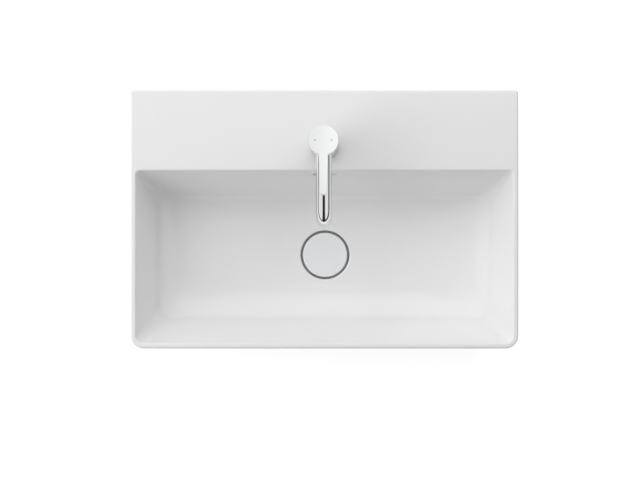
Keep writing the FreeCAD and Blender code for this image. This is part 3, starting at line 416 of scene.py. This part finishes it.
# %% [markdown]
# ## Cut threads
#
# Four threads can be seen from below: the tail of the drain, the fixing stud and
# the two supply inlets. A thread is a small wedge wound round an axis. A Screw
# modifier could wind it, but its ends would stop square. Spin with a step along
# the axis winds the same helix and leaves plain vertices, so the crest can sink
# into the wall at both ends, as a real thread runs out. One function makes all
# four, and a crest inside the wall makes the thread of a hole.

# %% Helical ridges
STEPS_PER_TURN = 40
RUN_OUT_TURNS = 0.6
ROOT_SINK = 0.15 * MM
FLANK_SHARE = 0.42
CREST_SLACK = 0.01 * MM
UP = Vector((0, 0, 1))


def wind_thread(mesh, axis, low_z, high_z, wall_r, crest_r, pitch):
    """Wind a ridge on a round wall, from low_z to high_z."""
    outward = 1 if crest_r > wall_r else -1
    root_r = wall_r - outward * ROOT_SINK
    flank = FLANK_SHARE * pitch
    start_z = low_z + flank
    end_z = high_z - flank
    turns = (end_z - start_z) / pitch
    outline = [(root_r, start_z - flank), (crest_r, start_z), (root_r, start_z + flank)]
    corners = [mesh.verts.new((axis.x + r, axis.y, z)) for r, z in outline]
    edges = [mesh.edges.new((corners[i], corners[i - 1])) for i in range(3)]
    steps = round(turns * STEPS_PER_TURN)
    mesh.faces.new(corners)
    wound = bmesh.ops.spin(
        mesh, geom=corners + edges, cent=axis, axis=UP, angle=2 * math.pi * turns,
        steps=steps, dvec=UP * pitch * turns / steps, use_merge=False, use_duplicate=False)
    mesh.faces.new([item for item in wound["geom_last"] if isinstance(item, bmesh.types.BMVert)])
    for corner in mesh.verts:
        arm = Vector((corner.co.x - axis.x, corner.co.y - axis.y, 0))
        if abs(arm.length - crest_r) < CREST_SLACK:
            from_end = min(corner.co.z - start_z, end_z - corner.co.z) / pitch
            height = min(from_end / RUN_OUT_TURNS, 1.0)
            corner.co += arm.normalized() * (root_r - crest_r) * (1.0 - height)


def finish_piece(name, mesh, body, slot):
    """Turn a bmesh into an object that rides on a body and takes a slot's finish."""
    bmesh.ops.recalc_face_normals(mesh, faces=mesh.faces)
    data = bpy.data.meshes.new(name)
    mesh.to_mesh(data)
    mesh.free()
    piece = bpy.data.objects.new(name, data)
    bpy.context.collection.objects.link(piece)
    data.materials.append(finishes[slot])
    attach(piece, body)
    print(name, len(data.polygons), "faces")


print("thread helpers ready")

# %% [markdown]
# ## Where the threads go
#
# The drain's tail is threaded up to its backnut and the stud up to its nut. The
# record lists the two inlets as threaded holes, with their places and sizes. Every
# thread leaves a short bare length at its lower and at its upper end.

# %% Drain tail, stud and inlets
TAIL_PITCH = 2.309 * MM
TAIL_R = 20.95 * MM
TAIL_CREST = 0.3 * MM
TAIL_BARE = (1.0 * MM, 3.0 * MM)
STUD_PITCH = 1.25 * MM
STUD_R = 3.9 * MM
STUD_CREST = 0.18 * MM
STUD_BARE = (0.5 * MM, 0.2 * MM)
INLET_PITCH = 1.0 * MM
INLET_CREST = 0.22 * MM
INLET_BARE = (0.2 * MM, 1.5 * MM)

tail = bmesh.new()
tail_end = underside_of("waste_body") + TAIL_BARE[0]
tail_top = underside_of("waste_backnut") - TAIL_BARE[1]
wind_thread(tail, drain_axis, tail_end, tail_top, TAIL_R, TAIL_R + TAIL_CREST, TAIL_PITCH)
finish_piece("drain_tail_thread", tail, "basin", "chrome")

stud = bmesh.new()
stud_end = underside_of("fixing_stud") + STUD_BARE[0]
stud_top = underside_of("fixing_nut") - STUD_BARE[1]
stud_axis = middle_of("fixing_stud")
wind_thread(stud, stud_axis, stud_end, stud_top, STUD_R, STUD_R + STUD_CREST, STUD_PITCH)
finish_piece("fixing_stud_thread", stud, "basin", "steel")

for mount in frame["record"]["mounts"]:
    if mount["kind"] == "threaded_hole":
        hole = Vector(mount["pos_m"])
        hole_r = mount["dims"]["r_mm"] * MM
        half = mount["dims"]["length_mm"] * MM / 2
        inlet_end = hole.z - half + INLET_BARE[0]
        inlet_top = hole.z + half - INLET_BARE[1]
        inlet = bmesh.new()
        wind_thread(inlet, hole, inlet_end, inlet_top, hole_r, hole_r - INLET_CREST, INLET_PITCH)
        finish_piece(mount["name"] + "_thread", inlet, "basin", "brass")

# %% [markdown]
# ## Camera
#
# The photograph looks straight down on the basin, so the camera hangs over its
# middle, a little to the right. Tilting it could frame the basin off centre, as
# the photograph does, but parallel edges would then converge. A small lens shift
# keeps them parallel.

# %% Camera
IMAGE_WIDTH = 640
IMAGE_MIDDLE_PX = (320.0, 239.5)
BASIN_MIDDLE_PX = (324.4, 219.3)
CAMERA_ASIDE = 0.02
CAMERA_HEIGHT = 1.9
FIELD_WIDTH = 0.9886

camera_data = bpy.data.cameras.new("camera")
camera = bpy.data.objects.new("camera", camera_data)
bpy.context.collection.objects.link(camera)
axis_px = BASIN_MIDDLE_PX[0] + CAMERA_ASIDE * IMAGE_WIDTH / FIELD_WIDTH
camera_data.lens = camera_data.sensor_width * CAMERA_HEIGHT / FIELD_WIDTH
camera_data.shift_x = (IMAGE_MIDDLE_PX[0] - axis_px) / IMAGE_WIDTH
camera_data.shift_y = (BASIN_MIDDLE_PX[1] - IMAGE_MIDDLE_PX[1]) / IMAGE_WIDTH
camera.location = (basin_middle.x + CAMERA_ASIDE, basin_middle.y, rim_z + CAMERA_HEIGHT)
bpy.context.scene.camera = camera
bpy.context.scene.view_settings.view_transform = "Standard"
print("lens", round(camera_data.lens, 1), "mm")

# %% [markdown]
# ## Floor
#
# The ground in the photograph is white. A white floor would throw too much light
# back up the sides, so this one is a sheet of half-grey paper. A glow that only
# the camera and mirrors see makes it white, and it keeps the soft shadow. It is
# round, because the corners of a square sheet would show in the chrome. From
# below the sheet is clear, which leaves the underside open to view.

# %% Floor
FLOOR_R = 30.0
FLOOR_SEGMENTS = 96
FLOOR_DROP = 0.5 * MM
FLOOR_GLOW = 0.75
PAPER_SCALE = 6.0
PAPER_GREYS = (rgb(0.49, 0.49, 0.49), rgb(0.51, 0.51, 0.51))


def make_floor_finish():
    material, finish = new_finish("studio_floor")
    watched = finish.ray("Camera") + finish.ray("Glossy") + finish.ray("Transmission")
    grain = finish.noise(PAPER_SCALE, 2.0)
    paper = finish.blend(grain, *PAPER_GREYS)
    matt = finish.node("BsdfDiffuse", inputs={"Color": paper})
    glow = finish.node("Emission", inputs={"Strength": FLOOR_GLOW * watched})
    paper_side = finish.node("AddShader", inputs={0: matt, 1: glow})
    from_below = finish.node("NewGeometry", output="Backfacing")
    clear = finish.node("BsdfTransparent")
    one_way = finish.node("MixShader", inputs={0: from_below, 1: paper_side, 2: clear})
    finish.node("OutputMaterial", inputs={"Surface": one_way})
    return material


floor_z = cad_box[0].z - FLOOR_DROP
sheet = bmesh.new()
bmesh.ops.create_circle(sheet, cap_ends=True, segments=FLOOR_SEGMENTS, radius=FLOOR_R)
bmesh.ops.translate(sheet, verts=sheet.verts, vec=(0, 0, floor_z))
floor_mesh = bpy.data.meshes.new("floor")
sheet.to_mesh(floor_mesh)
sheet.free()
floor = bpy.data.objects.new("floor", floor_mesh)
bpy.context.collection.objects.link(floor)
floor_mesh.materials.append(make_floor_finish())
print("floor at", round(floor_z / MM, 1), "mm")

# %% [markdown]
# ## Lamps
#
# The bowl is brightest at its right and front walls, so the light comes from the
# left and from behind. Two large softboxes give it, and a smaller one in the
# corner between them firms up the shadow beside the tap. A lamp adds its light
# to whatever is behind it, so in a mirror the softboxes would burn out against
# the white sky. They are kept out of reflections, and the sky alone is what the
# chrome mirrors.

# %% Softboxes
AIM_HEIGHT = 0.1
AIM = Vector((0.0, basin_middle.y, AIM_HEIGHT))
SOFTBOX_DISTANCE = 3.0


def place_round(azimuth_deg, elevation_deg):
    """A spot round the basin: azimuth 0 is to its right, 90 is behind it."""
    azimuth = math.radians(azimuth_deg)
    elevation = math.radians(elevation_deg)
    level = math.cos(elevation)
    return AIM + SOFTBOX_DISTANCE * Vector(
        (level * math.cos(azimuth), level * math.sin(azimuth), math.sin(elevation)))


def add_softbox(name, azimuth_deg, elevation_deg, size, power):
    spot = place_round(azimuth_deg, elevation_deg)
    data = bpy.data.lights.new(name, "AREA")
    data.size = size
    data.energy = power
    lamp = bpy.data.objects.new(name, data)
    bpy.context.collection.objects.link(lamp)
    lamp.visible_glossy = False
    lamp.location = spot
    lamp.rotation_euler = (AIM - spot).to_track_quat("-Z", "Y").to_euler()
    print(name, "at", [round(step, 2) for step in spot], power, "W")


add_softbox("left_softbox", azimuth_deg=180, elevation_deg=32, size=3.6, power=60.0)
add_softbox("rear_softbox", azimuth_deg=80, elevation_deg=45, size=3.6, power=48.0)
add_softbox("corner_softbox", azimuth_deg=120, elevation_deg=45, size=1.2, power=5.0)

# %% [markdown]
# ## Sky
#
# Chrome shows only what it has to mirror. A picture of a studio is the usual sky,
# but a few ramps on the direction are easier to steer. The camera sees plain
# white. Mirrors see white with one dark gap from overhead towards the front. A
# level surface mirrors the gap, and that draws the black line along the spout.
# The handle slopes back by three degrees, so it looks past the gap's edge and
# stays white. There the sky has a soft gleam, brighter to the right, which shades
# the handle's flat top from one side to the other.
#
# A dark card stands low in the sky round the front and both sides, tallest on the
# right, as a photographer sets one to give bright metal an edge. It draws the
# dark line round the spout. For matt surfaces the sky is an even grey, which
# fills the shadows. Each pair below says where a ramp starts and ends, in parts of
# a direction of length 1.

# %% White sky with a dark gap and a dark card
AMBIENT = 0.375
GAP_DARK = 0.97
GAP_SIDES = (0.22, 0.36)
GAP_REAR = (0.02, 0.15)
CARD_DARK = 0.93
CARD_FOOT = (-0.05, 0.05)
CARD_TOP = (0.08, 0.26)
CARD_SIDES = 0.14
CARD_TILT = 0.1
CARD_ENDS = (0.25, 0.45)
GLEAM = 0.31
GLEAM_LEFT = (-0.045, 0.015)
GLEAM_RIGHT = (0.1, 0.3)
GLEAM_FRONT = (0.05, 0.12)
GLEAM_BACK = (0.3, 0.5)

world = bpy.data.worlds.new("studio_sky")
world.use_nodes = True
bpy.context.scene.world = world
sky = Finish(world.node_tree)
seen = sky.ray("Camera") + sky.ray("Transmission")
mirrored = sky.ray("Glossy")
way = sky.node("TexCoord", output="Generated")
across = sky.axis(way, "X")
back = sky.axis(way, "Y")
height = sky.axis(way, "Z")
across_squared = across * across
beside_gap = across_squared.rise(GAP_SIDES[0] ** 2, GAP_SIDES[1] ** 2)
gap = (1.0 - beside_gap) * (1.0 - back.rise(*GAP_REAR))
above_card = height - CARD_TILT * across - CARD_SIDES * across_squared
card = height.rise(*CARD_FOOT) * (1.0 - above_card.rise(*CARD_TOP)) * (1.0 - back.rise(*CARD_ENDS))
gleam = across.rise(*GLEAM_LEFT) * (1.0 - across.rise(*GLEAM_RIGHT))
gleam = gleam * back.rise(*GLEAM_FRONT) * (1.0 - back.rise(*GLEAM_BACK))
mirror_sky = 1.0 - GAP_DARK * gap - CARD_DARK * card * (1.0 - gap) + GLEAM * gleam
strength = AMBIENT + (1.0 - AMBIENT) * seen + (mirror_sky - AMBIENT) * mirrored
sky.node("OutputWorld", inputs={
    "Surface": sky.node("Background", inputs={"Color": rgb(1, 1, 1), "Strength": strength})})
print("sky: ambient", AMBIENT)
